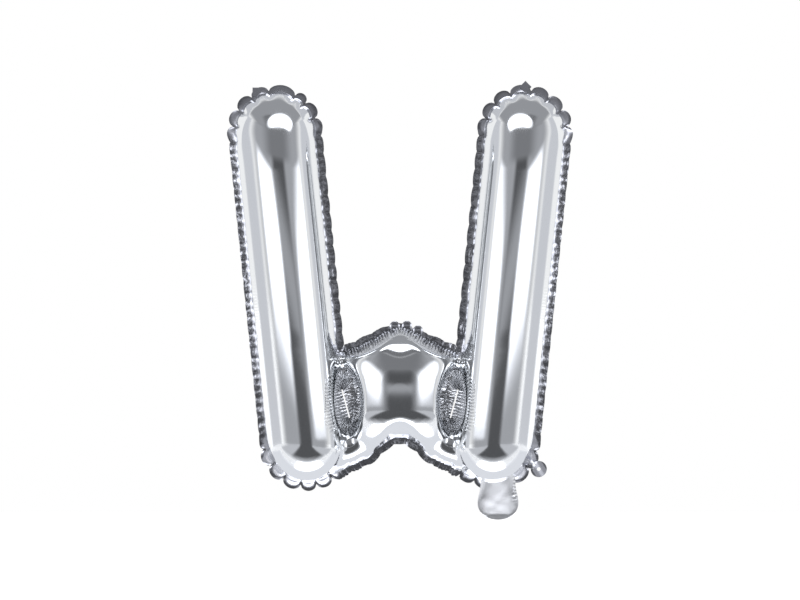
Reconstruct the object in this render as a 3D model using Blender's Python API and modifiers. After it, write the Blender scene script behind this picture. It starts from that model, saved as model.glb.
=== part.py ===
"""A silver foil balloon in the shape of a letter W, filled and closed.

Two equal sheets of metallised film are cut to the letter and welded to each other along every edge.
Gas pushes them apart, so each stroke of the letter becomes a round tube, with the flat weld margin
standing out from it in the seam plane. X is to the viewer's right, Z is up, and the viewer looks
along +Y. The origin is the middle of the letter, in the seam plane. All lengths are in metres.
"""

import math

import bmesh
import bpy
from mathutils import Matrix, Vector

# Driving dimensions of the letter
POST_RADIUS = 0.0350
POST_TOP = Vector((0.1080, 0, 0.1325))
POST_FOOT = Vector((0.0805, 0, -0.1350))
PILLOW_DEPTH = 0.0340
MARGIN = 0.0055
SLIT_MARGIN = 0.0112

# Thicknesses. The real film is about 0.04 mm thick, which is too thin for a solid
FILM_WALL = 0.0010
MARGIN_THICKNESS = 0.0010
GAP = 0.0003
MERGE = 0.00002
MARGIN_LAP = 0.0020

# The round ends of the seam margin are drawn into lobes between short pleats
LOBE_RADIUS = 0.0080
LOBE_PROUD = 0.0013

# Short tubes of film join each post to the pillow above and below the slit
SHOULDER_TUBE = {"from": (0.068, -0.0650), "to": (0.034, -0.0650), "radius": 0.0065}
FOOT_TUBE = {"from": (0.068, -0.1500), "to": (0.030, -0.1325), "radius": 0.0136}

# The weld round a slit lies between these places, and the outer weld beyond them
SLIT_WELD_NEAR_X = 0.0265
SLIT_WELD_FAR_X = 0.0740
SLIT_WELD_TOP_Z = -0.0657
SLIT_WELD_FOOT_Z = -0.1343

# The neck through which the balloon is filled, below the right post
NECK_X = 0.0847
NECK_RADIUS = 0.0177
NECK_END_Z = -0.2035
NECK_HALF_DEPTH = 0.0022
NECK_WALL = 0.0008
NECK_WELD = 0.0030
VALVE_END_Z = -0.1965

# The round tab by which the balloon is hung, at the foot of the right post
TAB_RADIUS = 0.0070
TAB_REACH = 0.0455
TAB_ANGLE = -30
TAB_HOLE_RADIUS = 0.0016

# Right half of the pillow's outline, from its peak past its shoulder and foot to the arch: x, z
PILLOW_OUTLINE = (
    (0.0000, -0.0340),
    (0.0110, -0.0375),
    (0.0220, -0.0435),
    (0.0350, -0.0505),
    (0.0530, -0.0590),
    (0.0415, -0.0735),
    (0.0355, -0.0890),
    (0.0340, -0.1030),
    (0.0370, -0.1200),
    (0.0450, -0.1400),
    (0.0580, -0.1630),
    (0.0310, -0.1515),
    (0.0160, -0.1380),
    (0.0000, -0.1310),
)
PILLOW_CENTRE = Vector((0, 0, -0.0930))
PILLOW_ROWS = 8
PILLOW_FULLNESS = 0.65

# Towards its crown the pillow is an oval of this half width and half height
PILLOW_OVAL = (0.0350, 0.0500)
PILLOW_RIM_HOLD = 3

# The weld of each slit draws the post's inner side in: x, z, and reach in X, Y and Z
SLIT_DENT = {"at": (0.0478, -0.0995), "reach": (0.0125, 0.0270, 0.0330)}

# Lobes round the ends of the posts: side (-1 left, 1 right), end, the angles from +X in degrees
END_LOBES = (
    (-1, "top", (8, 32, 56, 84, 112, 136, 160, 182)),
    (1, "top", (-2, 20, 44, 68, 96, 124, 148, 172)),
    (-1, "foot", (176, 200, 224, 248, 272, 294)),
    (1, "foot", (-4, -52, 236)),
)

# Small round lobes on the pillow's peak: x, z, radius
PEAK_LOBES = (
    (-0.0045, -0.0345, 0.0046),
    (0.0060, -0.0340, 0.0044),
    (0.0155, -0.0380, 0.0044),
)

# Scraps of margin left square or pointed by the die: x, z, size, turn in degrees
SCRAPS = (
    (-0.1235, 0.1680, 0.0080, 0),
    (0.1085, 0.1725, 0.0075, 45),
)

# How finely the round shapes are divided. An odd number of rows keeps a tube's side straight
POST_SEGMENTS = 28
POST_ROWS = 13
SMALL_SEGMENTS = 16
SMALL_ROWS = 9
NECK_SEGMENTS = 24
TAB_SEGMENTS = 24
HOLE_SEGMENTS = 12
SHARP_ANGLE = 40

# The cutting blocks reach past the whole letter, and the lobes' plates past the margin's thickness
FAR = 0.3
PLATE_DEPTH = 4 * MARGIN_THICKNESS


def remove_all_objects():
    for obj in list(bpy.data.objects):
        bpy.data.objects.remove(obj)


def new_collection(name):
    collection = bpy.data.collections.new(name)
    bpy.context.scene.collection.children.link(collection)
    return collection


def new_object(name, bm):
    """Make an object from a bmesh, in the scene's own collection, and free the bmesh."""
    mesh = bpy.data.meshes.new(name)
    bm.to_mesh(mesh)
    bm.free()
    obj = bpy.data.objects.new(name, mesh)
    bpy.context.scene.collection.objects.link(obj)
    return obj


def capsule(start, end, radius, segments=SMALL_SEGMENTS, rows=SMALL_ROWS, flatten=1.0):
    """A tube with round ends; flatten narrows it in Y."""
    axis = end - start
    bm = bmesh.new()
    bmesh.ops.create_uvsphere(bm, u_segments=segments, v_segments=rows, radius=radius)
    for vert in bm.verts:
        vert.co.z += math.copysign(axis.length / 2, vert.co.z)
    turn = axis.to_track_quat("Z", "Y").to_matrix().to_4x4()
    place = Matrix.Translation((start + end) / 2) @ Matrix.Diagonal((1, flatten, 1, 1)) @ turn
    bmesh.ops.transform(bm, matrix=place, verts=bm.verts)
    return new_object("capsule", bm)


def disc(x, z, radius, depth, segments=SMALL_SEGMENTS):
    """A round plate that faces the viewer."""
    bm = bmesh.new()
    place = Matrix.Translation((x, 0, z)) @ Matrix.Rotation(math.pi / 2, 4, "X")
    bmesh.ops.create_cone(
        bm, cap_ends=True, segments=segments, radius1=radius, radius2=radius, depth=depth, matrix=place
    )
    return new_object("disc", bm)


def block(low, high, turn=0.0):
    """A box between two corners, turned in degrees about its own middle in the seam plane."""
    low, high = Vector(low), Vector(high)
    bm = bmesh.new()
    place = (
        Matrix.Translation((low + high) / 2)
        @ Matrix.Rotation(math.radians(turn), 4, "Y")
        @ Matrix.Diagonal((*(high - low), 1))
    )
    bmesh.ops.create_cube(bm, size=1, matrix=place)
    return new_object("block", bm)


def combined(first, others, operation):
    """Join, cut or intersect the first object with each of the others, and remove those."""
    for other in others:
        modifier = first.modifiers.new(operation, "BOOLEAN")
        modifier.operation = operation
        modifier.object = other
        evaluated = first.evaluated_get(bpy.context.evaluated_depsgraph_get())
        mesh = bpy.data.meshes.new_from_object(evaluated)
        first.modifiers.clear()
        first.data = mesh
        tidy(first)
        bpy.data.objects.remove(other)
    return first


def tidy(obj):
    """Merge the doubled points that a cut leaves, and split the faces into triangles."""
    bm = bmesh.new()
    bm.from_mesh(obj.data)
    bmesh.ops.remove_doubles(bm, verts=bm.verts, dist=MERGE)
    bmesh.ops.dissolve_degenerate(bm, edges=bm.edges, dist=MERGE)
    bmesh.ops.triangulate(bm, faces=[face for face in bm.faces if len(face.verts) > 3])
    bm.to_mesh(obj.data)
    bm.free()


def flattened(obj):
    """Keep what the object's modifiers make as its own mesh."""
    evaluated = obj.evaluated_get(bpy.context.evaluated_depsgraph_get())
    mesh = bpy.data.meshes.new_from_object(evaluated)
    obj.modifiers.clear()
    obj.data = mesh
    tidy(obj)


def mirrored(obj, name):
    """A copy of the object on the other side of the letter."""
    bm = bmesh.new()
    bm.from_mesh(obj.data)
    bmesh.ops.scale(bm, vec=(-1, 1, 1), verts=bm.verts)
    bmesh.ops.reverse_faces(bm, faces=bm.faces)
    return new_object(name, bm)


def pillow(outset):
    """The body between the posts: a ball whose girth follows the outline, made smooth, then grown."""
    right = [Vector((x, 0, z)) for x, z in PILLOW_OUTLINE]
    left = [Vector((-p.x, 0, p.z)) for p in reversed(right[1:-1])]
    girth = right + left
    bm = bmesh.new()
    bmesh.ops.create_uvsphere(bm, u_segments=len(girth), v_segments=PILLOW_ROWS, radius=1)
    for vert in bm.verts:
        share = math.hypot(vert.co.x, vert.co.y)
        angle = math.atan2(vert.co.y, vert.co.x)
        rim = girth[round(angle / math.tau * len(girth)) % len(girth)]
        oval = Vector((math.sin(angle) * PILLOW_OVAL[0], 0, math.cos(angle) * PILLOW_OVAL[1]))
        depth = math.copysign(abs(vert.co.z) ** PILLOW_FULLNESS, vert.co.z) * PILLOW_DEPTH
        reach = oval.lerp(rim - PILLOW_CENTRE, share ** PILLOW_RIM_HOLD)
        vert.co = PILLOW_CENTRE + reach * share + Vector((0, depth, 0))
    obj = new_object("pillow", bm)
    smooth = obj.modifiers.new("smooth", "SUBSURF")
    smooth.levels = 1
    smooth.render_levels = 1
    flattened(obj)
    bm = bmesh.new()
    bm.from_mesh(obj.data)
    bmesh.ops.recalc_face_normals(bm, faces=bm.faces)
    bm.normal_update()
    for vert in bm.verts:
        vert.co += vert.normal * outset
    bm.to_mesh(obj.data)
    bm.free()
    return obj


def on_side(point, side):
    return Vector((point.x * side, point.y, point.z))


def tube_to_pillow(size, side, outset):
    start, end = (Vector((x * side, 0, z)) for x, z in (size["from"], size["to"]))
    return capsule(start, end, size["radius"] + outset)


def slit_dent(side, outset):
    """The hollow that one slit's weld pulls into the post's inner side."""
    x, z = SLIT_DENT["at"]
    reach = Vector(SLIT_DENT["reach"]) - Vector((outset, outset, outset))
    bm = bmesh.new()
    place = Matrix.Translation((x * side, 0, z)) @ Matrix.Diagonal((*reach, 1))
    bmesh.ops.create_uvsphere(bm, u_segments=SMALL_SEGMENTS, v_segments=SMALL_ROWS, radius=1, matrix=place)
    return new_object("slit dent", bm)


def film_body(outset):
    """The whole filled balloon, its surface moved out by outset, or in where that is negative."""
    tubes = []
    for side in (-1, 1):
        top, foot = on_side(POST_TOP, side), on_side(POST_FOOT, side)
        post = capsule(foot, top, POST_RADIUS + outset, POST_SEGMENTS, POST_ROWS)
        tubes.append(combined(post, [slit_dent(side, outset)], "DIFFERENCE"))
        tubes.append(tube_to_pillow(SHOULDER_TUBE, side, outset))
        tubes.append(tube_to_pillow(FOOT_TUBE, side, outset))
    return combined(pillow(outset), tubes, "UNION")


def lobes(outset):
    """The round lobes and the die's scraps on the seam margin, as upright plates."""
    plates = []
    reach = POST_RADIUS + MARGIN + LOBE_PROUD - LOBE_RADIUS
    for side, end, angles in END_LOBES:
        centre = on_side(POST_TOP if end == "top" else POST_FOOT, side)
        for angle in map(math.radians, angles):
            x = centre.x + reach * math.cos(angle)
            z = centre.z + reach * math.sin(angle)
            plates.append(disc(x, z, LOBE_RADIUS + outset, PLATE_DEPTH))
    for x, z, radius in PEAK_LOBES:
        plates.append(disc(x, z, radius + outset, PLATE_DEPTH))
    for x, z, size, turn in SCRAPS:
        half = size / 2 + outset
        low, high = (x - half, -PLATE_DEPTH / 2, z - half), (x + half, PLATE_DEPTH / 2, z + half)
        plates.append(block(low, high, turn))
    return plates


def margin_body(outset=0.0):
    """Everything inside the cut edge of the sheets, with its lobes."""
    return combined(film_body(MARGIN + outset), lobes(outset), "UNION")


def slab(low_y, high_y):
    return block((-FAR, low_y, -FAR), (FAR, high_y, FAR))


def slit_region(side, half_depth):
    """A box round one slit's weld, from the middle of one short tube to the middle of the other."""
    near, far = sorted((SLIT_WELD_NEAR_X * side, SLIT_WELD_FAR_X * side))
    return block((near, -half_depth, SLIT_WELD_FOOT_Z), (far, half_depth, SLIT_WELD_TOP_Z))


def make_films():
    """The front and back sheets, each a dish whose rim stands on the seam margin."""
    rim = MARGIN_THICKNESS / 2 + GAP
    sides = {"front_film": (-FAR, -rim), "back_film": (rim, FAR)}
    films = []
    for name, (low_y, high_y) in sides.items():
        film = combined(film_body(0.0), [slab(low_y, high_y)], "INTERSECT")
        film = combined(film, [film_body(-FILM_WALL)], "DIFFERENCE")
        film.name = name
        films.append(film)
    return films


def make_seams():
    """The flat weld all round the letter, and the two welds that close the film round the slits."""
    half = MARGIN_THICKNESS / 2
    weld = combined(margin_body(), [film_body(-MARGIN_LAP)], "DIFFERENCE")
    slit = combined(film_body(SLIT_MARGIN), [film_body(-MARGIN_LAP)], "DIFFERENCE")
    left = combined(slit, [slit_region(-1, half)], "INTERSECT")
    left.name = "left_slit_seam"
    right = mirrored(left, "right_slit_seam")
    neck_half = NECK_RADIUS + GAP
    neck_way = block((NECK_X - neck_half, -FAR, -FAR), (NECK_X + neck_half, FAR, POST_FOOT.z))
    outer = combined(weld, [slit_region(-1, FAR), slit_region(1, FAR), neck_way], "DIFFERENCE")
    outer = combined(outer, [slab(-half, half)], "INTERSECT")
    outer.name = "outer_seam"
    return [outer, left, right]


def flat_tongue(radius, half_depth, end_z):
    """A flattened tube with a round end, hanging down from the right foot."""
    start = Vector((NECK_X, 0, POST_FOOT.z))
    end = Vector((NECK_X, 0, end_z + radius))
    return capsule(start, end, radius, NECK_SEGMENTS, SMALL_ROWS, half_depth / radius)


def make_neck():
    """The two plies of the neck, welded down their sides, and the valve sleeve that lies between them."""
    inside_depth = NECK_HALF_DEPTH - NECK_WALL
    inside_radius = NECK_RADIUS - NECK_WELD
    pieces = []
    for name, (low_y, high_y) in {
        "neck_front_ply": (-FAR, -GAP / 2),
        "neck_back_ply": (GAP / 2, FAR),
    }.items():
        ply = combined(
            flat_tongue(NECK_RADIUS, NECK_HALF_DEPTH, NECK_END_Z), [slab(low_y, high_y)], "INTERSECT"
        )
        bore = flat_tongue(inside_radius, inside_depth, NECK_END_Z - NECK_WELD)
        ply = combined(ply, [bore, film_body(GAP)], "DIFFERENCE")
        ply.name = name
        pieces.append(ply)
    valve = combined(
        flat_tongue(inside_radius - GAP, inside_depth - GAP, VALVE_END_Z), [film_body(GAP)], "DIFFERENCE"
    )
    valve.name = "valve_sleeve"
    pieces.append(valve)
    return pieces


def make_tab():
    """The round hanging tab, cut with the sheets just outside the foot's weld."""
    angle = math.radians(TAB_ANGLE)
    x = POST_FOOT.x + TAB_REACH * math.cos(angle)
    z = POST_FOOT.z + TAB_REACH * math.sin(angle)
    tab = disc(x, z, TAB_RADIUS, MARGIN_THICKNESS, TAB_SEGMENTS)
    hole = disc(x, z, TAB_HOLE_RADIUS, PLATE_DEPTH, HOLE_SEGMENTS)
    tab = combined(tab, [hole, margin_body(GAP)], "DIFFERENCE")
    tab.name = "hanging_tab"
    return tab


def foil(name, colour, roughness, metallic=1.0):
    material = bpy.data.materials.new(name)
    material.use_nodes = True
    shader = material.node_tree.nodes["Principled BSDF"]
    shader.inputs["Base Color"].default_value = (*colour, 1)
    shader.inputs["Roughness"].default_value = roughness
    shader.inputs["Metallic"].default_value = metallic
    material.diffuse_color = (*colour, 1)
    return material


def finish(pieces, collection, material):
    for piece in pieces:
        piece.data.name = piece.name
        piece.data.materials.clear()
        piece.data.materials.append(material)
        piece.data.shade_smooth()
        piece.data.set_sharp_from_angle(angle=math.radians(SHARP_ANGLE))
        bpy.context.scene.collection.objects.unlink(piece)
        collection.objects.link(piece)


def main():
    remove_all_objects()
    balloon = new_collection("letter foil balloon")
    bright = foil("bright silver film", (0.80, 0.81, 0.83), 0.10)
    creased = foil("creased silver margin", (0.72, 0.73, 0.76), 0.25)
    clear = foil("clear valve film", (0.85, 0.87, 0.90), 0.30, metallic=0.0)
    films = make_films()
    seams = make_seams()
    front_ply, back_ply, valve = make_neck()
    finish(films, balloon, bright)
    finish([*seams, make_tab()], balloon, creased)
    finish([front_ply, back_ply], balloon, bright)
    finish([valve], balloon, clear)


main()
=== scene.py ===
"""A filled silver foil letter W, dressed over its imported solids. All lengths are in metres."""

import bisect
import math

import bmesh
import bpy
from mathutils import Matrix, Vector, kdtree, noise


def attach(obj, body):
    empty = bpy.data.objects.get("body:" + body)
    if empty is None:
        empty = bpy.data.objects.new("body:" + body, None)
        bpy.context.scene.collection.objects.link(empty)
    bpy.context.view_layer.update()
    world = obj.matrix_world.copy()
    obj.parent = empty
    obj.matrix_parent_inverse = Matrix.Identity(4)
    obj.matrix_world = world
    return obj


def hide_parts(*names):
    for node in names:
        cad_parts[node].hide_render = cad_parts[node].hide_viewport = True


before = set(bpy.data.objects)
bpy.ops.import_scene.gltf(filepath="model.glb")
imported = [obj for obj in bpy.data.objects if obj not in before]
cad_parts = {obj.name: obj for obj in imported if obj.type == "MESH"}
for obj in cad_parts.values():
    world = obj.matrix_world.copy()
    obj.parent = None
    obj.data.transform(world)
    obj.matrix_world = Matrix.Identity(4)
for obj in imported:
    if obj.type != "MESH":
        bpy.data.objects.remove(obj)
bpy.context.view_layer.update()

# The camera: level, straight in front, and far enough away that the posts' sides hardly show.
# One pixel of the photograph is 0.8642 mm in the seam plane, and the picture's middle is 11.7 mm
# below the letter's.
PIXEL = 0.0008642
PICTURE_WIDTH = 800
CAMERA_DISTANCE = 2.6
VIEW_MIDDLE_Z = -0.0117
SENSOR = 36.0
camera_data = bpy.data.cameras.new("camera")
camera_data.sensor_width = SENSOR
camera_data.lens = SENSOR * CAMERA_DISTANCE / (PIXEL * PICTURE_WIDTH)
camera = bpy.data.objects.new("camera", camera_data)
camera.location = (0, -CAMERA_DISTANCE, VIEW_MIDDLE_Z)
camera.rotation_euler = (math.pi / 2, 0, 0)
bpy.context.scene.collection.objects.link(camera)
bpy.context.scene.camera = camera

# The two sheets of film: polyester metallised with aluminium, cut alike, welded together along
# every edge and pushed apart by the gas. The gas draws the flat sheets into round tubes, so the
# film gathers into lobes and pleats along the welds, most of all round the tubes' ends.
POST_RADIUS = 0.0350
POST_TOP = Vector((0.1080, 0, 0.1325))
POST_FOOT = Vector((0.0805, 0, -0.1350))
POST_LENGTH = (POST_TOP - POST_FOOT).length
# The short tubes that join each post to the pillow: start, end, radius
SHOULDER_TUBE = (Vector((0.068, 0, -0.0650)), Vector((0.034, 0, -0.0650)), 0.0065)
FOOT_TUBE = (Vector((0.068, 0, -0.1500)), Vector((0.030, 0, -0.1325)), 0.0136)


def on_side(point, side):
    """The point on the right (1) or the left (-1) of the letter."""
    return Vector((point.x * side, point.y, point.z))


def fade(value, start, end):
    """A smooth step: 0 up to start, 1 from end on. It runs the other way where end is below start."""
    share = min(max((value - start) / (end - start), 0), 1)
    return share * share * (3 - 2 * share)


def add_tube(bm, start, end, radius, segments, rows):
    """A tube with round ends."""
    axis = end - start
    made = bmesh.ops.create_uvsphere(bm, u_segments=segments, v_segments=rows, radius=radius)
    for vert in made["verts"]:
        vert.co.z += math.copysign(axis.length / 2, vert.co.z)
    turn = axis.to_track_quat("Z", "Y").to_matrix().to_4x4()
    bmesh.ops.transform(bm, matrix=Matrix.Translation((start + end) / 2) @ turn, verts=made["verts"])


# The pillow between the posts. Right half of its outline from its peak to the arch: x, z
PILLOW_OUTLINE = (
    (0.0000, -0.0340),
    (0.0110, -0.0375),
    (0.0220, -0.0435),
    (0.0350, -0.0505),
    (0.0530, -0.0590),
    (0.0445, -0.0735),
    (0.0405, -0.0890),
    (0.0395, -0.1030),
    (0.0415, -0.1200),
    (0.0470, -0.1400),
    (0.0580, -0.1630),
    (0.0310, -0.1515),
    (0.0160, -0.1380),
    (0.0000, -0.1310),
)
PILLOW_CENTRE = Vector((0, 0, -0.0930))
OUTLINE_CUTS = 5
PILLOW_ROWS = 48
PILLOW_RIM_POWER = 12
# The roof runs down from the peak on both sides. ROOF_DROP is its drop for each metre outwards,
# and ROOF_SQUARE turns a height under it into a distance square to it.
PEAK_Z = -0.0340
PEAK_ROUNDING = 0.0080
PEAK_REACH = 0.020
ROOF_DROP = 0.4717
ROOF_SQUARE = 0.9045
# The arch below drops away to both sides, and the sides flare above and below the waist
ARCH_Z = -0.1310
ARCH_DROP = 0.0345
ARCH_REACH = 0.030
WAIST_Z = -0.100
WAIST_HALF = 0.0395
WAIST_FLARE_UP = 9.0
WAIST_FLARE_DOWN = 6.5
# How steeply the faces rise from these welds, in depth for each metre from the weld, and how far
# the creases between them are rounded
ROOF_STEEPNESS = 2.8
BELLY_STEEPNESS = 2.1
SIDE_STEEPNESS = 4.2
PILLOW_CREASE = 0.0016
# The crown between them: deepest at its own height, bent across, and leaning back above the
# shoulder, more so in the middle. Bends and falls are factors of powers of the distance.
PILLOW_DEPTH = 0.0335
CROWN_Z = -0.1040
CROWN_BENDS = (4.9, 1480)
CROWN_FALL_UP = 46
CROWN_FALL_DOWN = 13
SHOULDER_Z = -0.0704
SHOULDER_SLOPE = 0.156
SHOULDER_HALF_WIDTH = 0.0150
SHOULDER_MIDDLE_BEND = 11


def rounded_line(points, cuts):
    """A closed line through the points with cuts more points in each stretch, bent smoothly."""
    line = []
    for index, point in enumerate(points):
        before = points[index - 1]
        after = points[(index + 1) % len(points)]
        later = points[(index + 2) % len(points)]
        for step in range(cuts + 1):
            t = step / (cuts + 1)
            bend = (after - before) * t + (2 * before - 5 * point + 4 * after - later) * t * t
            line.append(point + (bend + (3 * point - before - 3 * after + later) * t ** 3) / 2)
    return line


def soft_least(values, blend):
    """The least of the values, with rounded corners where two of them meet."""
    return -blend * math.log(sum(math.exp(-value / blend) for value in values))


def pillow_depth(x, z):
    """How far the pillow's face stands from the weld's plane, by its distances from its welds."""
    x = abs(x)
    ridge = math.hypot(x, PEAK_ROUNDING) - PEAK_ROUNDING * math.exp(-((x / PEAK_REACH) ** 2))
    roof = (PEAK_Z - ROOF_DROP * ridge - z) * ROOF_SQUARE
    belly = z - ARCH_Z + ARCH_DROP * (1 - math.exp(-((x / ARCH_REACH) ** 2)))
    flare = WAIST_FLARE_UP if z > WAIST_Z else WAIST_FLARE_DOWN
    side = WAIST_HALF + flare * (z - WAIST_Z) ** 2 - x
    above = max(z - SHOULDER_Z, 0)
    middle_bend = SHOULDER_MIDDLE_BEND * math.exp(-((x / SHOULDER_HALF_WIDTH) ** 2))
    shoulder = SHOULDER_SLOPE * above + (1 + middle_bend) * above ** 2
    crown = PILLOW_DEPTH - CROWN_BENDS[0] * x ** 2 - CROWN_BENDS[1] * x ** 4 - shoulder
    rise = max(min(z, SHOULDER_Z) - CROWN_Z, 0)
    drop = max(CROWN_Z - z, 0)
    crown -= CROWN_FALL_UP * rise ** 3 + CROWN_FALL_DOWN * drop ** 2
    faces = (roof * ROOF_STEEPNESS, belly * BELLY_STEEPNESS, side * SIDE_STEEPNESS, crown)
    return max(soft_least(faces, PILLOW_CREASE), 0)


def add_pillow(bm):
    """The body between the posts: a ball whose girth follows the outline."""
    right = [Vector((x, 0, z)) for x, z in PILLOW_OUTLINE]
    left = [on_side(point, -1) for point in reversed(right[1:-1])]
    girth = rounded_line(right + left, OUTLINE_CUTS)
    made = bmesh.ops.create_uvsphere(bm, u_segments=len(girth), v_segments=PILLOW_ROWS, radius=1)
    for vert in made["verts"]:
        share = math.hypot(vert.co.x, vert.co.y)
        angle = math.atan2(vert.co.y, vert.co.x)
        rim = girth[round(angle / math.tau * len(girth)) % len(girth)]
        spot = PILLOW_CENTRE + (rim - PILLOW_CENTRE) * share
        depth = pillow_depth(spot.x, spot.z) * math.sqrt(max(1 - share ** PILLOW_RIM_POWER, 0))
        vert.co = spot + Vector((0, math.copysign(depth, vert.co.z), 0))


def show(name, bm):
    """Make an object of the bmesh and free it."""
    mesh = bpy.data.meshes.new(name)
    bm.to_mesh(mesh)
    bm.free()
    obj = bpy.data.objects.new(name, mesh)
    bpy.context.scene.collection.objects.link(obj)
    return obj


# Posts, joining tubes and pillow become one skin
VOXEL = 0.0015
shape = bmesh.new()
for side in (-1, 1):
    foot, top = on_side(POST_FOOT, side), on_side(POST_TOP, side)
    add_tube(shape, foot, top, POST_RADIUS, segments=96, rows=49)
    for start, end, radius in (SHOULDER_TUBE, FOOT_TUBE):
        add_tube(shape, on_side(start, side), on_side(end, side), radius, segments=32, rows=17)
add_pillow(shape)
body = show("filled_letter", shape)
remesh = body.modifiers.new("one skin", "REMESH")
remesh.mode = "VOXEL"
remesh.voxel_size = VOXEL
skin = bmesh.new()
skin.from_object(body, bpy.context.evaluated_depsgraph_get())
bpy.data.objects.remove(body)

# The skin is smoothed, its plain lengths go back on the exact tube, the posts are pressed in
# beside the slits, and the ends get a slope that is longer than their own radius
SKIN_SMOOTHINGS = 8
SLIT_SMOOTHINGS = 6
TUBE_SHRINKAGE = 0.002
TUBE_NEAR = POST_RADIUS * 0.9
TUBE_FAR = POST_RADIUS * 1.1
PLAIN_POST_Z = (-0.055, -0.035)
SLIT_FIELD = (Vector((0.0300, 0, -0.1430)), Vector((0.0640, 0, -0.0620)))
SLIT_DENT_AT = Vector((0.0478, 0, -0.0995))
SLIT_DENT_REACH = Vector((0.0125, 0.0270, 0.0280))
TOP_SLOPE = 0.0680
TOP_BLUNTNESS = 2.0
FOOT_SLOPE = 0.0410
FOOT_BLUNTNESS = 2.6
SLOPE_X = (0.030, 0.050)
SLOPE_START = 0.0004
SLOPE_SWELL_LIMIT = 1.3


def post_place(point):
    """The nearest point of the nearer post's axis, the side it is on, and how far up it lies."""
    side = 1 if point.x > 0 else -1
    foot, top = on_side(POST_FOOT, side), on_side(POST_TOP, side)
    along = (point - foot).dot(top - foot) / (top - foot).length_squared
    return foot.lerp(top, min(max(along, 0), 1)), side, along * (top - foot).length


def in_slit(point):
    """Whether the point lies round one of the two slits."""
    low, high = SLIT_FIELD
    return low.x < abs(point.x) < high.x and low.z < point.z < high.z


def slope_share(from_end, slope, blunt):
    """The depth of a long sloped end beside a round one, this far from the tube's end."""
    if from_end >= slope:
        return 1
    from_end = max(from_end, SLOPE_START)
    near = min(from_end, POST_RADIUS)
    long_end = POST_RADIUS * (1 - ((slope - from_end) / slope) ** blunt) ** (1 / blunt)
    round_end = math.sqrt(POST_RADIUS ** 2 - (POST_RADIUS - near) ** 2)
    return min(long_end / round_end, SLOPE_SWELL_LIMIT)


def smooth(verts, times):
    """Smooth these points of the skin a number of times."""
    for step in range(times):
        bmesh.ops.smooth_vert(
            skin, verts=verts, factor=0.5, use_axis_x=True, use_axis_y=True, use_axis_z=True)


smooth(skin.verts, SKIN_SMOOTHINGS)
for vert in skin.verts:
    axis_point, side, up = post_place(vert.co)
    out = vert.co - axis_point
    if abs(out.length - POST_RADIUS) < TUBE_SHRINKAGE:
        hold = max(fade(vert.co.z, *PLAIN_POST_Z), fade(out.x * side, 0, POST_RADIUS / 3))
        vert.co = vert.co.lerp(axis_point + out.normalized() * POST_RADIUS, hold)
    dent, reach = SLIT_DENT_AT, SLIT_DENT_REACH
    across = (vert.co.y / reach.y) ** 2 + ((vert.co.z - dent.z) / reach.z) ** 2
    if across < 1 and dent.x - reach.x < abs(vert.co.x) < axis_point.x * side:
        deep = dent.x + reach.x * math.sqrt(1 - across)
        if abs(vert.co.x) < deep and TUBE_NEAR < out.length < TUBE_FAR:
            vert.co.x = side * deep
    thin = slope_share(POST_LENGTH + POST_RADIUS - up, TOP_SLOPE, TOP_BLUNTNESS)
    thin *= slope_share(up + POST_RADIUS, FOOT_SLOPE, FOOT_BLUNTNESS)
    vert.co.y *= 1 - (1 - thin) * fade(abs(vert.co.x), *SLOPE_X)
smooth([vert for vert in skin.verts if in_slit(vert.co)], SLIT_SMOOTHINGS)

# Both sheets are alike, so the back one is the front one mirrored in the weld's plane. The
# remesh leaves a row of points half a voxel either side of it.
behind = [face for face in skin.faces if any(vert.co.y > -VOXEL / 6 for vert in face.verts)]
bmesh.ops.delete(skin, geom=behind, context="FACES")
for vert in [vert for vert in skin.verts if vert.is_boundary]:
    vert.co.y = 0
whole = [*skin.verts, *skin.edges, *skin.faces]
bmesh.ops.mirror(skin, geom=whole, merge_dist=0.0001, axis="Y")
bmesh.ops.recalc_face_normals(skin, faces=skin.faces)
kind = skin.faces.layers.int.new("kind")
gather_layer = skin.verts.layers.float.new("gather")
way_layer = skin.verts.layers.float.new("way")
FRONT, BACK, OUTER, LEFT_SLIT, RIGHT_SLIT = range(5)
for face in skin.faces:
    face[kind] = FRONT if face.calc_center_median().y < 0 else BACK

# The points where the sheets meet: each one's neighbours, and its way out from the film
IN_SEAM_PLANE = 1e-6
OUTWARD_SMOOTHINGS = 10
skin.normal_update()
seam_verts = set()
for edge in skin.edges:
    if all(abs(vert.co.y) < IN_SEAM_PLANE for vert in edge.verts):
        seam_verts.update(edge.verts)
beside, outward = {}, {}
for vert in seam_verts:
    others = [edge.other_vert(vert) for edge in vert.link_edges]
    beside[vert] = [other for other in others if other in seam_verts]
    outward[vert] = Vector((vert.normal.x, 0, vert.normal.z)).normalized()
for step in range(OUTWARD_SMOOTHINGS):
    outward = {
        vert: (own + sum((outward[other] for other in beside[vert]), Vector())).normalized()
        for vert, own in outward.items()
    }


def walk(start):
    """The closed line of seam points from start, in order."""
    line, seen = [start], {start}
    while True:
        onward = [vert for vert in beside[line[-1]] if vert not in seen]
        if not onward:
            return line
        line.append(onward[0])
        seen.add(onward[0])


# The longest line runs round the letter, and the others round the slits
lines, unwalked = [], set(seam_verts)
while unwalked:
    start = max(unwalked, key=lambda vert: (round(vert.co.z, 4), vert.co.x))
    line = walk(start)
    unwalked -= set(line)
    lines.append(line)
lines.sort(key=len, reverse=True)
seam_places = {vert: vert.co.copy() for line in lines for vert in line}

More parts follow.
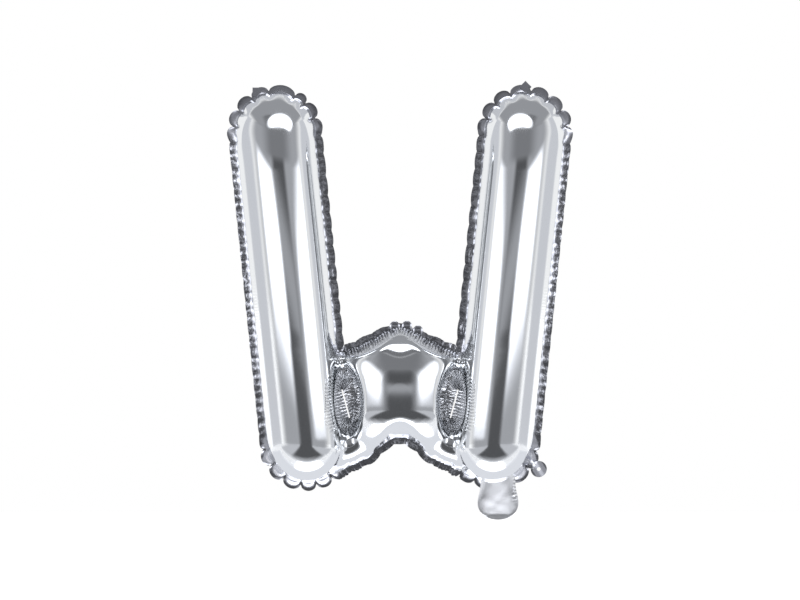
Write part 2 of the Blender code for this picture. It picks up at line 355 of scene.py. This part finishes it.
# Where the gathered film is nipped between two lobes. Round a tube's end the nips are in degrees:
# side, end, angles. Elsewhere they follow each other at a pitch that varies a little.
END_NIPS = (
    (-1, "top", (-4, 20, 44, 62, 98, 124, 148, 171, 193)),
    (1, "top", (-15, 9, 32, 56, 82, 110, 136, 160, 184)),
    (-1, "foot", (165, 188, 212, 236, 262, 284, 306)),
    (1, "foot", (15, -12, -36, -64, -116, -140)),
)
SIDE_LOBE = 0.0160
SLIT_LOBE = 0.0115
LOBE_CHANGE = 0.35
LOBE_CHANGE_PACE = 90
NIP_CLEARANCE = 0.75
LOBE_ROUNDNESS = 0.6
end_nips = []
for side, end, angles in END_NIPS:
    centre = on_side(POST_TOP if end == "top" else POST_FOOT, side)
    for angle in map(math.radians, angles):
        end_nips.append(centre + Vector((math.cos(angle), 0, math.sin(angle))) * POST_RADIUS)
line_nips = []
for line in lines:
    length, ways, places = 0, {}, []
    for index, vert in enumerate(line):
        length += (vert.co - line[index - 1].co).length
        ways[vert] = length
    pitch = SLIT_LOBE
    if line is lines[0]:
        pitch = SIDE_LOBE
        for nip in end_nips:
            nearest = min(line, key=lambda vert: (vert.co - nip).length_squared)
            places.append(ways[nearest])
    way = 0
    while way < length - pitch / 2:
        if all(abs(way - place) > pitch * NIP_CLEARANCE for place in places):
            places.append(way)
        change = LOBE_CHANGE * noise.noise(Vector((way * LOBE_CHANGE_PACE, 0.5, 0.5)))
        way += pitch * (1 + change)
    line_nips.append((length, ways, sorted(places)))

seam_tree = kdtree.KDTree(sum(len(line) for line in lines))
seam_list = []
for number, line in enumerate(lines):
    for index, vert in enumerate(line):
        seam_tree.insert(vert.co, len(seam_list))
        seam_list.append((number, index))
seam_tree.balance()


def seam_way(point):
    """The nearest seam line's number, the way along it and the distance off it, in the plane."""
    flat = Vector((point.x, 0, point.z))
    number, index = seam_list[seam_tree.find(flat)[1]]
    line = lines[number]
    length, ways, places = line_nips[number]
    here = seam_places[line[index]]
    best = None
    for neighbour in (line[index - 1], line[(index + 1) % len(line)]):
        there = seam_places[neighbour]
        share = min(max((flat - here).dot(there - here) / (there - here).length_squared, 0), 1)
        off = (flat - here.lerp(there, share)).length
        turn = (ways[neighbour] - ways[line[index]] + length / 2) % length - length / 2
        if best is None or off < best[0]:
            best = (off, ways[line[index]] + turn * share)
    return number, best[1] % length, best[0]


def lobe(number, way):
    """0 at a nip, rising to 1 in the middle of the lobe between two nips, and the lobe's number."""
    length, ways, places = line_nips[number]
    after = bisect.bisect(places, way)
    low = places[after - 1] - (length if after == 0 else 0)
    high = places[after % len(places)] + (length if after == len(places) else 0)
    share = (way - low) / (high - low)
    return math.sin(math.pi * share) ** LOBE_ROUNDNESS, after % len(places)


# The film near the welds: a straight rim band round the ends, and lobes between the nips. How
# gathered it is and its way along the weld go into attributes, for the fine pleats in the material.
END_FADE = (-0.012, 0.010)
END_FADE_X = (0.046, 0.058)
MIDDLE_HALF = 0.050
MIDDLE_FOOT_Z = -0.170
RIM_DEPTH = 0.0190
RIM_PULL = 0.0017
END_LOBE_HEIGHT = 0.0022
ROOF_LOBE_HEIGHT = 0.0014
SIDE_LOBE_HEIGHT = 0.0006
LOBE_FADE = (0.0170, 0.001)
LOBE_EVEN = 0.55
NIP_DEPTH = 0.0009
NIP_FADE = (0.013, 0.002)
GATHERED_DEPTH = 0.0200
PLEAT_REACH = 0.0095
SLIT_PLEAT_REACH = 0.0070
PLEAT_FULL = 0.001
ROOF_PLEATS_ABOVE = -0.080
SLIT_PLEATS = 0.5
ROOF_PLEATS = 1.1
PLAIN_PLEATS = 0.02


def end_share(point):
    """1 round the tubes' ends and 0 along their sides."""
    up = post_place(point)[2]
    return fade(max(up - POST_LENGTH, -up), *END_FADE) * fade(abs(point.x), *END_FADE_X)


moved = {}
for vert in skin.verts:
    deep = abs(vert.co.y)
    if deep > GATHERED_DEPTH and not in_slit(vert.co):
        continue
    number, way, off = seam_way(vert.co)
    height = lobe(number, way)[0]
    near_slit = number > 0 or in_slit(vert.co)
    between_posts = abs(vert.co.x) < MIDDLE_HALF and MIDDLE_FOOT_Z < vert.co.z < 0
    ends = 0 if near_slit else end_share(vert.co)
    strength = max(ends * END_LOBE_HEIGHT, SIDE_LOBE_HEIGHT)
    if near_slit or between_posts:
        strength = max(strength, ROOF_LOBE_HEIGHT)
    if deep == 0 and not ends:
        strength /= 2
    swell = strength * (height - LOBE_EVEN) * fade(deep, *LOBE_FADE)
    swell -= ends * NIP_DEPTH * (1 - height) ** 2 * fade(deep, *NIP_FADE)
    inward = post_place(vert.co)[0] - vert.co
    inward.y = 0
    pull = ends * RIM_PULL * math.sin(math.pi * min(deep / RIM_DEPTH, 1))
    moved[vert] = vert.normal * swell + inward.normalized() * pull
    pleated, reach = PLAIN_PLEATS, PLEAT_REACH
    if near_slit:
        pleated, reach = SLIT_PLEATS, SLIT_PLEAT_REACH
    elif between_posts and vert.co.z > ROOF_PLEATS_ABOVE:
        pleated = ROOF_PLEATS
    vert[gather_layer] = pleated * fade(off, reach, PLEAT_FULL)
    vert[way_layer] = way
for vert, move in moved.items():
    vert.co += move


def split_off(name, mark):
    """A piece made of the skin's faces with this mark."""
    part = skin.copy()
    layer = part.faces.layers.int.get("kind")
    others = [face for face in part.faces if face[layer] != mark]
    bmesh.ops.delete(part, geom=others, context="FACES")
    return show(name, part)


def srgb(code):
    """A material colour from its sRGB hex value."""
    parts = [int(code[place:place + 2], 16) / 255 for place in (0, 2, 4)]
    linear = [part / 12.92 if part <= 0.04045 else ((part + 0.055) / 1.055) ** 2.4 for part in parts]
    return (*linear, 1)


def add_node(tree, kind, settings=None, **links):
    """Add a node with its settings. A link names an input, or i and its number, and gives it a
    socket or a value."""
    node = tree.nodes.new(kind)
    for key, value in (settings or {}).items():
        setattr(node, key, value)
    for key, value in links.items():
        numbered = key[0] == "i" and key[1:].isdigit()
        socket = node.inputs[int(key[1:]) if numbered else key.replace("_", " ")]
        if isinstance(value, bpy.types.NodeSocket):
            tree.links.new(value, socket)
        else:
            socket.default_value = value
    return node


PLEAT_WANDER_GRAIN = 120.0
PLEAT_WANDER = 5.0


def film_material(name, tint, roughness, pleats, crinkles, painted_valley_shade):
    """Metallised polyester film: mirror bright, with pleats across the weld and fine crinkles where
    it is gathered. Pleats and crinkles are each a pitch and a height, and the last argument says
    how far painted shade darkens the pleats' valleys."""
    material = bpy.data.materials.new(name)
    material.use_nodes = True
    tree = material.node_tree
    shader = tree.nodes["Principled BSDF"]
    shader.inputs["Metallic"].default_value = 1.0
    shader.inputs["Roughness"].default_value = roughness
    way = add_node(tree, "ShaderNodeAttribute", {"attribute_name": "way"}).outputs["Fac"]
    gather = add_node(tree, "ShaderNodeAttribute", {"attribute_name": "gather"}).outputs["Fac"]
    place = add_node(tree, "ShaderNodeTexCoord").outputs["Object"]
    times = {"operation": "MULTIPLY"}
    wander = add_node(tree, "ShaderNodeTexNoise", Vector=place, Scale=PLEAT_WANDER_GRAIN, Detail=2.0)
    straight = add_node(tree, "ShaderNodeMath", times, i0=way, i1=math.tau / pleats[0])
    turn = add_node(tree, "ShaderNodeMath", {"operation": "MULTIPLY_ADD"},
                    i0=wander.outputs["Fac"], i1=PLEAT_WANDER, i2=straight.outputs[0])
    wave = add_node(tree, "ShaderNodeMath", {"operation": "SINE"}, i0=turn.outputs[0])
    # Painted shade: in the pleats' valleys the base colour is mixed towards 26272b, as far as the
    # gather and the last argument say
    low = add_node(tree, "ShaderNodeMapRange", Value=wave.outputs[0],
                   From_Min=0.9, From_Max=-0.9, To_Min=0.0, To_Max=painted_valley_shade)
    painted_shade = add_node(tree, "ShaderNodeMath", times, i0=gather, i1=low.outputs[0])
    colour = add_node(tree, "ShaderNodeMix", {"data_type": "RGBA"},
                      i0=painted_shade.outputs[0], i6=srgb(tint), i7=srgb("26272b"))
    tree.links.new(colour.outputs[2], shader.inputs["Base Color"])
    pleated = add_node(tree, "ShaderNodeMath", times, i0=wave.outputs[0], i1=gather)
    pleat = add_node(tree, "ShaderNodeBump", Strength=1.0, Distance=pleats[1],
                     Height=pleated.outputs[0])
    crumple = add_node(tree, "ShaderNodeTexNoise", Vector=place, Scale=1 / crinkles[0], Detail=3.0)
    crumpled = add_node(tree, "ShaderNodeMath", times, i0=crumple.outputs["Fac"], i1=gather)
    crinkle = add_node(tree, "ShaderNodeBump", Strength=1.0, Distance=crinkles[1],
                       Height=crumpled.outputs[0], Normal=pleat.outputs["Normal"])
    tree.links.new(crinkle.outputs["Normal"], shader.inputs["Normal"])
    return material


def dress(piece, material, slot, *nodes):
    """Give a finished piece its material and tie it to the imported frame."""
    piece.data.materials.clear()
    piece.data.materials.append(material)
    piece.data.shade_smooth()
    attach(piece, "root")
    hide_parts(*nodes)
    return piece


# Polyester film, rolled thin and metallised with aluminium: a clean mirror that is pleated beside
# the welds. The pleats are 2.7 mm apart, three pixels, which is as fine as the photograph shows.
film = film_material("rolled and metallised polyester film", "eceef0", roughness=0.08,
                     pleats=(0.0027, 0.00022), crinkles=(0.0050, 0.00025), painted_valley_shade=0.75)
front_sheet = dress(split_off("front_sheet", FRONT), film, "film", "front_film")
back_sheet = dress(split_off("back_sheet", BACK), film, "film", "back_film")

# The weld margin: both sheets heat welded flat to each other, outside the gas, all round the
# letter. It is a strip 5.5 mm wide that grows out of the line where the sheets meet, narrower at
# the nips, and the gathered film curls it.
MARGIN = 0.0055
MARGIN_ROWS = 4
MARGIN_NIP = 0.0022
MARGIN_EVEN = 0.75
SIDE_NIP_SHARE = 0.4
OUTER_SIDE_X = (0.095, 0.105)
OUTER_SIDE_CALM = 0.75
PEAK_MARGIN_SHARE = 0.45
PEAK_MARGIN_X = 0.005
PEAK_MARGIN_REACH = 0.018
PEAK_MARGIN_Z = -0.060
MARGIN_CURL = 0.0020
CURL_EVEN = 0.3
CURL_STRIDE = 7.3
TOP_TILT = 0.0011
FOOT_TILT = 0.0022
LINE_GATHER = 0.2
END_CALM = 0.88


def grow_strip(number, mark, rows, aim, settle):
    """Extrude rows of faces from a seam line towards each point's aim. The settle function finishes
    a new point: it gets the point, its point on the line and its share of the way."""
    ways = line_nips[number][1]
    edges = [edge for edge in skin.edges if edge.verts[0] in aim and edge.verts[1] in aim]
    root = {vert: vert for vert in lines[number]}
    for row in range(1, rows + 1):
        made = bmesh.ops.extrude_edge_only(skin, edges=edges)["geom"]
        above = {}
        for item in made:
            if isinstance(item, bmesh.types.BMFace):
                item[kind] = mark
            elif isinstance(item, bmesh.types.BMVert):
                others = [edge.other_vert(item) for edge in item.link_edges]
                source = next(root[other] for other in others if other in root)
                above[item] = source
                item.co = source.co.lerp(aim[source], row / rows)
                item[way_layer] = ways[source]
                settle(item, source, row / rows)
        new_edges = [item for item in made if isinstance(item, bmesh.types.BMEdge)]
        edges = [edge for edge in new_edges if all(vert in above for vert in edge.verts)]
        root = above


margin_aim = {}
for vert in lines[0]:
    height, which = lobe(0, line_nips[0][1][vert])
    ends = end_share(vert.co)
    lively = 1 - OUTER_SIDE_CALM * ((1 - ends) * fade(abs(vert.co.x), *OUTER_SIDE_X))
    nip_share = SIDE_NIP_SHARE + (1 - SIDE_NIP_SHARE) * ends
    width = MARGIN + MARGIN_NIP * (height - MARGIN_EVEN) * nip_share * lively
    if vert.co.z > PEAK_MARGIN_Z and abs(vert.co.x) < MIDDLE_HALF:
        peak = math.exp(-(((vert.co.x - PEAK_MARGIN_X) / PEAK_MARGIN_REACH) ** 2))
        width *= 1 - (1 - PEAK_MARGIN_SHARE) * peak
    aim = vert.co + outward[vert] * width
    sway = noise.noise(Vector((which * CURL_STRIDE, 0, 0.5)))
    aim.y = MARGIN_CURL * lively * (height - CURL_EVEN) * sway
    aim.y += ends * (TOP_TILT if vert.co.z > 0 else FOOT_TILT) * height
    margin_aim[vert] = aim


def settle_margin(vert, source, share):
    """The margin bends away near the line and is straighter, and more gathered, at its edge."""
    vert.co.y = source.co.y + (margin_aim[source].y - source.co.y) * (1 - (1 - share) ** 2)
    gather = LINE_GATHER + (1 - LINE_GATHER) * share
    vert[gather_layer] = gather * (1 - END_CALM * end_share(vert.co))


grow_strip(0, OUTER, MARGIN_ROWS, margin_aim, settle_margin)

# Loose corners of the margin: two scraps of film at the tops, as x, z, size and turn in degrees,
# and three round lobes at the peak, as x, z and radius
SCRAPS = ((-0.1235, 0.1680, 0.0080, 0), (0.1085, 0.1725, 0.0075, 45))
SCRAP_Y = 0.0004
SCRAP_LEAN = Matrix.Rotation(math.radians(82), 4, "X")
PEAK_LOBES = ((-0.0045, -0.0345, 0.0046), (0.0060, -0.0340, 0.0044), (0.0155, -0.0380, 0.0044))
PEAK_LOBE_FLATNESS = 0.16
LOOSE_GATHER = 0.1
loose = []
for x, z, size, turn in SCRAPS:
    lay = Matrix.Rotation(math.radians(turn), 4, "Y") @ SCRAP_LEAN
    place = Matrix.Translation((x, SCRAP_Y, z)) @ lay
    loose += bmesh.ops.create_grid(
        skin, x_segments=5, y_segments=5, size=size / 2, matrix=place)["verts"]
for x, z, radius in PEAK_LOBES:
    place = Matrix.Translation((x, 0, z)) @ Matrix.Diagonal((1, PEAK_LOBE_FLATNESS, 1, 1))
    loose += bmesh.ops.create_uvsphere(
        skin, u_segments=20, v_segments=12, radius=radius, matrix=place)["verts"]
for vert in loose:
    vert[gather_layer] = LOOSE_GATHER
    for face in vert.link_faces:
        face[kind] = OUTER

# Heat sealed film: the same mirror, a little dulled and greyed by the hot bar, and crumpled
seal = film_material("heat sealed polyester film", "cdced4", roughness=0.14,
                     pleats=(0.0070, 0.00010), crinkles=(0.0045, 0.00055), painted_valley_shade=0.35)
margin = dress(split_off("weld_margin", OUTER), seal, "seam", "outer_seam")

# The slit welds: between each post and the pillow the two sheets are welded round a narrow slit.
# The weld is a strip of the same film that lies gathered on both sides of the slit.
SLIT_LINE = (Vector((0.0500, 0, -0.0895)), Vector((0.0437, 0, -0.1130)))
SLIT_GAP = 0.0012
SLIT_ROWS = 7
LIP_Y = -0.0015
LIP_WAVE = 0.001
LIP_WAVE_GRAIN = 150
LIP_GATHER = 0.5
# The rise towards the slit goes past full gather: it strengthens the pleats and also darkens the strip
# there with painted shade
LIP_PLEAT_AND_SHADE_RISE = 0.7


def settle_lip(vert, source, share):
    """The strip is more gathered towards the slit: stronger pleats, and more painted shade in their
    valleys down in the slit.
    """
    vert[gather_layer] = LIP_GATHER + LIP_PLEAT_AND_SHADE_RISE * share


for number in range(1, len(lines)):
    side = 1 if sum(vert.co.x for vert in lines[number]) > 0 else -1
    top, foot = (on_side(place, side) for place in SLIT_LINE)
    lip_aim = {}
    for vert in lines[number]:
        along = min(max((vert.co - top).dot(foot - top) / (foot - top).length_squared, 0), 1)
        centre = top.lerp(foot, along)
        lip_aim[vert] = centre + (vert.co - centre).normalized() * SLIT_GAP / 2
        lip_aim[vert].y = LIP_Y + LIP_WAVE * noise.noise(vert.co * LIP_WAVE_GRAIN)
    grow_strip(number, RIGHT_SLIT if side > 0 else LEFT_SLIT, SLIT_ROWS, lip_aim, settle_lip)

# Gathered film: the mirror is broken up by pleats 2.7 mm apart, with painted shade in their valleys
gathered = film_material("gathered polyester film", "e4e5e8", roughness=0.12,
                         pleats=(0.0027, 0.00026), crinkles=(0.0040, 0.0003), painted_valley_shade=0.6)
left_weld = dress(split_off("left_slit_weld", LEFT_SLIT), gathered, "seam", "left_slit_seam")
right_weld = dress(split_off("right_slit_weld", RIGHT_SLIT), gathered, "seam", "right_slit_seam")
skin.free()

# The filling neck: a tongue of each sheet below the right foot, welded to the other along its
# sides and open at its round end. It hangs limp and bent back, so it mirrors the pale floor.
NECK_X = 0.0847
NECK_TOP_Z = -0.1668
NECK_WIDEST_Z = -0.1870
NECK_END_Z = -0.2016
NECK_TOP_HALF = 0.0150
NECK_HALF = 0.0176
NECK_FLARE_FROM = 0.006
NECK_ROUNDNESS = 2.1
NECK_END_HALF = 0.002
NECK_TOP_Y = 0.0062
NECK_END_Y = (0.0022, 0.0036)
NECK_RIM_CURL = 0.0020
NECK_CLOSED_FROM = 0.84
NECK_CORNER_RISE = 0.0050
NECK_CORNER_FROM = 0.0020
NECK_EDGE_POWER = 5
NECK_WAVE = 0.0001
NECK_WAVE_GRAIN = 160
NECK_CRINKLED_X = (NECK_X + 0.0110, NECK_X + 0.0150)
NECK_CRINKLED_Z = (-0.1880, -0.1780)


def add_patch(bm, columns, rows, place):
    """A sheet of faces whose point at a share across and up is given by the place function."""
    made = bmesh.ops.create_grid(bm, x_segments=columns, y_segments=rows, size=1)["verts"]
    for vert in made:
        vert.co = place((vert.co.x + 1) / 2, (vert.co.y + 1) / 2)
    return made


def neck_half(z):
    """Half the neck's width at a height."""
    if z > NECK_WIDEST_Z:
        flare = fade(z, NECK_TOP_Z - NECK_FLARE_FROM, NECK_WIDEST_Z)
        return NECK_TOP_HALF + (NECK_HALF - NECK_TOP_HALF) * flare
    down = (NECK_WIDEST_Z - z) / (NECK_WIDEST_Z - NECK_END_Z)
    return NECK_HALF * max(1 - down ** NECK_ROUNDNESS, NECK_END_HALF) ** (1 / NECK_ROUNDNESS)


def neck_depth(down, layer):
    """How far back a layer hangs, and the middle between the plies. Layer -1 is the front ply, 1 the
    back one, and 0 the valve between them."""
    middle = (NECK_END_Y[0] + NECK_END_Y[1]) / 2 * down
    gap = NECK_TOP_Y * (1 - down) + (NECK_END_Y[1] - NECK_END_Y[0]) / 2 * down
    return middle + layer * gap, middle


def neck_ply(name, layer):
    """One ply of the neck, gathered only near its right corner."""
    bm = bmesh.new()
    gather = bm.verts.layers.float.new("gather")
    way = bm.verts.layers.float.new("way")

    def place(across, up):
        """A point of the ply, by its share across and its share up to the top."""
        turn = math.sin((across - 0.5) * math.pi)
        z = NECK_TOP_Z + (NECK_END_Z - NECK_TOP_Z) * math.sin((1 - up) * math.pi / 2)
        down = (NECK_TOP_Z - z) / (NECK_TOP_Z - NECK_END_Z)
        x = neck_half(z) * turn * -layer
        y, middle = neck_depth(down, layer)
        edge = max(abs(turn) ** NECK_EDGE_POWER, fade(down, NECK_CLOSED_FROM, 1.0))
        wave = NECK_WAVE * noise.noise(Vector((x, 0, z)) * NECK_WAVE_GRAIN)
        corner = fade(abs(x), NECK_CORNER_FROM, NECK_TOP_HALF) * up ** NECK_EDGE_POWER
        y += (middle - y) * edge - NECK_RIM_CURL * edge + wave
        return Vector((NECK_X + x, y, z + NECK_CORNER_RISE * corner))

    for vert in add_patch(bm, 40, 40, place):
        vert[way] = vert.co.z
        vert[gather] = fade(vert.co.x, *NECK_CRINKLED_X) * fade(vert.co.z, *NECK_CRINKLED_Z)
    return show(name, bm)


# Limp film: no gas stretches it, so it is a soft satin mirror with a few small crinkles
neck_film = film_material("limp polyester film", "f2f3f5", roughness=0.30,
                          pleats=(0.0030, 0.00012), crinkles=(0.0035, 0.0008), painted_valley_shade=0.6)
front_ply = dress(neck_ply("neck_front", -1), neck_film, "film", "neck_front_ply")
back_ply = dress(neck_ply("neck_back", 1), neck_film, "film", "neck_back_ply")

# The valve sleeve: a strip of clear polyethylene film welded in between the neck's plies. The gas
# goes in through it, and it lies flat while it is shut.
VALVE_HALF = 0.0080
VALVE_TOP_Z = -0.1710
VALVE_END_Z = -0.1965
HAZE_GRAIN = 260.0


def sleeve_place(across, up):
    """A point of the sleeve, in the middle between the plies."""
    z = VALVE_END_Z + (VALVE_TOP_Z - VALVE_END_Z) * up
    down = (NECK_TOP_Z - z) / (NECK_TOP_Z - NECK_END_Z)
    return Vector((NECK_X + VALVE_HALF * (2 * across - 1), neck_depth(down, 0)[0], z))


sleeve_mesh = bmesh.new()
add_patch(sleeve_mesh, 12, 20, sleeve_place)
# Blown film: clear, with a haze that varies from place to place
clear_film = bpy.data.materials.new("blown polyethylene film")
clear_film.use_nodes = True
clear_tree = clear_film.node_tree
clear_shader = clear_tree.nodes["Principled BSDF"]
clear_place = add_node(clear_tree, "ShaderNodeTexCoord").outputs["Object"]
haze = add_node(clear_tree, "ShaderNodeTexNoise", Vector=clear_place, Scale=HAZE_GRAIN, Detail=2.0)
cloud = add_node(clear_tree, "ShaderNodeMapRange",
                 Value=haze.outputs["Fac"], To_Min=0.25, To_Max=0.45)
clear_tree.links.new(cloud.outputs[0], clear_shader.inputs["Roughness"])
clear_shader.inputs["Base Color"].default_value = srgb("eef1f4")
clear_shader.inputs["Transmission Weight"].default_value = 0.7
clear_shader.inputs["IOR"].default_value = 1.51
sleeve = dress(show("valve_film", sleeve_mesh), clear_film, "valve", "valve_sleeve")

# The hanging tab: a small disc of the two films welded flat, with a hole for a ribbon, joined to
# the margin by a short crumpled strip. It is curled, so its mirror shows stripes.
TAB_ANGLE = math.radians(-30)
TAB_REACH = 0.0455
TAB_RADIUS = 0.0070
TAB_HOLE_RADIUS = 0.0016
TAB_STRIP_REACH = 0.0105
TAB_STRIP_HALF = 0.0036
TAB_CURL = 0.0003
TAB_CURL_PACE = Vector((420, 0, 260))
TAB_FORWARD = 0.0008
TAB_TURN = 0.22
TAB_CRUMPLED = (0.004, 0.008)
tab_way = Vector((math.cos(TAB_ANGLE), 0, math.sin(TAB_ANGLE)))
tab_centre = POST_FOOT + tab_way * TAB_REACH
tab_mesh = bmesh.new()
tab_gather = tab_mesh.verts.layers.float.new("gather")
tab_mesh.verts.layers.float.new("way")


def tab_place(across, up):
    """A point of the tab: across goes round it, and up goes out from its hole."""
    angle = math.tau * across
    along, aside = -math.cos(angle), math.sin(angle)
    reach = TAB_RADIUS
    if along > 0 and abs(aside) / along < TAB_STRIP_HALF / TAB_RADIUS:
        reach = TAB_STRIP_REACH
    out = TAB_HOLE_RADIUS + (reach - TAB_HOLE_RADIUS) * up
    side_way = Vector((-tab_way.z, 0, tab_way.x))
    off = side_way * aside * out - tab_way * along * out
    bend = TAB_CURL * math.sin(off.dot(TAB_CURL_PACE))
    return tab_centre + off + Vector((0, bend - TAB_FORWARD + TAB_TURN * off.x, 0))


for vert in add_patch(tab_mesh, 64, 10, tab_place):
    vert[tab_gather] = fade((vert.co - tab_centre).dot(-tab_way), *TAB_CRUMPLED)
bmesh.ops.remove_doubles(tab_mesh, verts=tab_mesh.verts, dist=0.00001)
tab = dress(show("ribbon_tab", tab_mesh), seal, "seam", "hanging_tab")

# The studio: a white room with soft cards that only the foil sees. Two near softboxes stand
# beside the camera, one hangs over the letter and one lies under it, and behind the camera is a
# dim wall with a lighter band at the camera's height.
# Columns: name, from and to in degrees round the balloon (0 is the camera), distance, its foot's
# height, its top's height at both sides, brightness, soft edge as a share of width and of height
CARDS = (
    ("left_softbox", (-64, -16), 0.75, -0.165, (0.36, 0.10), 2.4, (0.24, 0.40)),
    ("right_softbox", (16, 64), 0.75, -0.165, (0.10, 0.36), 2.4, (0.24, 0.40)),
    ("dim_wall", (-22, 22), 3.0, -1.00, (0.95, 0.95), 0.10, (0.28, 0.12)),
    ("dim_upper_wall", (-46, 46), 2.8, 0.42, (2.55, 2.55), 0.23, (0.35, 0.20)),
    ("lighter_band", (-22, 22), 2.9, -0.14, (0.26, 0.26), 0.42, (0.28, 0.45)),
    ("front_wall", (-75, 75), 3.2, -1.00, (2.6, 2.6), 0.42, (0.15, 0.05)),
    ("rear_wall", (132, 228), 3.2, -1.00, (2.6, 2.6), 0.62, (0.25, 0.12)),
    ("rear_dim_wall", (166, 194), 3.0, -1.00, (1.2, 1.2), 0.16, (0.30, 0.15)),
    ("left_wall", (-115, -68), 3.1, -2.0, (2.6, 2.6), 0.70, (0.20, 0.05)),
    ("right_wall", (68, 115), 3.1, -2.0, (2.6, 2.6), 0.70, (0.20, 0.05)),
)
# Columns: name, middle, width across and front to back, brightness, soft edge
PANELS = (
    ("ceiling", (0, -0.9, 2.4), 6.0, 4.6, 0.36, 0.12),
    ("dim_ceiling", (0, -2.0, 2.3), 3.2, 1.5, 0.20, 0.20),
    ("back_ceiling", (0, 3.2, 2.4), 7.0, 4.2, 0.65, 0.06),
    ("over_softbox", (0, -0.31, 0.46), 0.60, 0.25, 3.2, 0.22),
    ("under_softbox", (0, -0.34, -0.58), 0.85, 0.42, 3.0, 0.18),
    ("letter_floor", (0, 0.75, -0.59), 4.0, 2.2, 0.88, 0.10),
    ("grey_floor", (0, -2.00, -0.61), 5.6, 3.1, 0.62, 0.10),
    ("dim_floor", (0, -1.95, -0.60), 1.9, 2.9, 0.10, 0.16),
)
SOFTBOX_BEND = 0.8


def card_paint(name, brightness, soft_across, soft_up):
    """Light that fades out towards the card's edges."""
    material = bpy.data.materials.new(name)
    material.use_nodes = True
    tree = material.node_tree
    tree.nodes.clear()
    uv = add_node(tree, "ShaderNodeTexCoord").outputs["UV"]
    spot = add_node(tree, "ShaderNodeSeparateXYZ", Vector=uv)
    cover = None
    for socket, soft in ((spot.outputs["X"], soft_across), (spot.outputs["Y"], soft_up)):
        for low, high in ((0.0, soft), (1.0, 1.0 - soft)):
            edge = add_node(tree, "ShaderNodeMapRange", {"interpolation_type": "SMOOTHSTEP"},
                            Value=socket, From_Min=low, From_Max=high).outputs[0]
            if cover is None:
                cover = edge
            else:
                both = add_node(tree, "ShaderNodeMath", {"operation": "MULTIPLY"}, i0=cover, i1=edge)
                cover = both.outputs[0]
    glow = add_node(tree, "ShaderNodeEmission", Color=srgb("f7f9ff"), Strength=brightness)
    clear = add_node(tree, "ShaderNodeBsdfTransparent")
    mixed = add_node(tree, "ShaderNodeMixShader", i0=cover, i1=clear.outputs[0], i2=glow.outputs[0])
    add_node(tree, "ShaderNodeOutputMaterial", Surface=mixed.outputs[0])
    return material


def add_card(name, place, brightness, soft_across, soft_up):
    """A card whose point at a share across and up is given by the place function."""
    bm = bmesh.new()
    bmesh.ops.create_grid(bm, x_segments=24, y_segments=12, size=1)
    uv = bm.loops.layers.uv.new("across and up")
    for face in bm.faces:
        for loop in face.loops:
            loop[uv].uv = ((loop.vert.co.x + 1) / 2, (loop.vert.co.y + 1) / 2)
    for vert in bm.verts:
        vert.co = place((vert.co.x + 1) / 2, (vert.co.y + 1) / 2)
    card = show(name, bm)
    card.data.materials.append(card_paint(name, brightness, soft_across, soft_up))
    card.visible_camera = False
    card.visible_shadow = False


for name, turns, distance, low, highs, brightness, soft in CARDS:
    def round_place(across, up):
        """A point of an upright card bent round the balloon."""
        turn = math.radians(turns[0] + (turns[1] - turns[0]) * across)
        high = highs[0] + (highs[1] - highs[0]) * across
        return Vector((math.sin(turn) * distance, -math.cos(turn) * distance, low + (high - low) * up))

    add_card(name, round_place, brightness, *soft)
for name, middle, width, length, brightness, soft in PANELS:
    def panel_place(across, up):
        """A point of a level panel. The softbox over the letter is oval, with its ends bent forward."""
        right, back = 2 * across - 1, 2 * up - 1
        if name == "over_softbox":
            right, back = right * math.sqrt(1 - back ** 2 / 2), back * math.sqrt(1 - right ** 2 / 2)
            back -= SOFTBOX_BEND * right ** 2
        return Vector(middle) + Vector((width * right / 2, length * back / 2, 0))

    add_card(name, panel_place, brightness, soft, soft)

# The floor: pale matt paint, lit up to the white of the room
FLOOR_Z = -0.62
FLOOR_HALF = 6
ground = bmesh.new()
level = Matrix.Translation((0, 0, FLOOR_Z))
bmesh.ops.create_grid(ground, x_segments=1, y_segments=1, size=FLOOR_HALF, matrix=level)
floor = show("floor", ground)
paint = bpy.data.materials.new("pale floor paint")
paint.use_nodes = True
paint_shader = paint.node_tree.nodes["Principled BSDF"]
paint_shader.inputs["Base Color"].default_value = srgb("f2f2f2")
paint_shader.inputs["Roughness"].default_value = 0.8
paint_shader.inputs["Emission Color"].default_value = (1, 1, 1, 1)
paint_shader.inputs["Emission Strength"].default_value = 0.5
floor.data.materials.append(paint)

# The room's even white light, which the floor and the foil's open sides see
world = bpy.data.worlds.new("white room")
world.use_nodes = True
background = world.node_tree.nodes["Background"]
background.inputs["Color"].default_value = (1, 1, 1, 1)
background.inputs["Strength"].default_value = 1.0
bpy.context.scene.world = world
bpy.context.scene.view_settings.view_transform = "Standard"
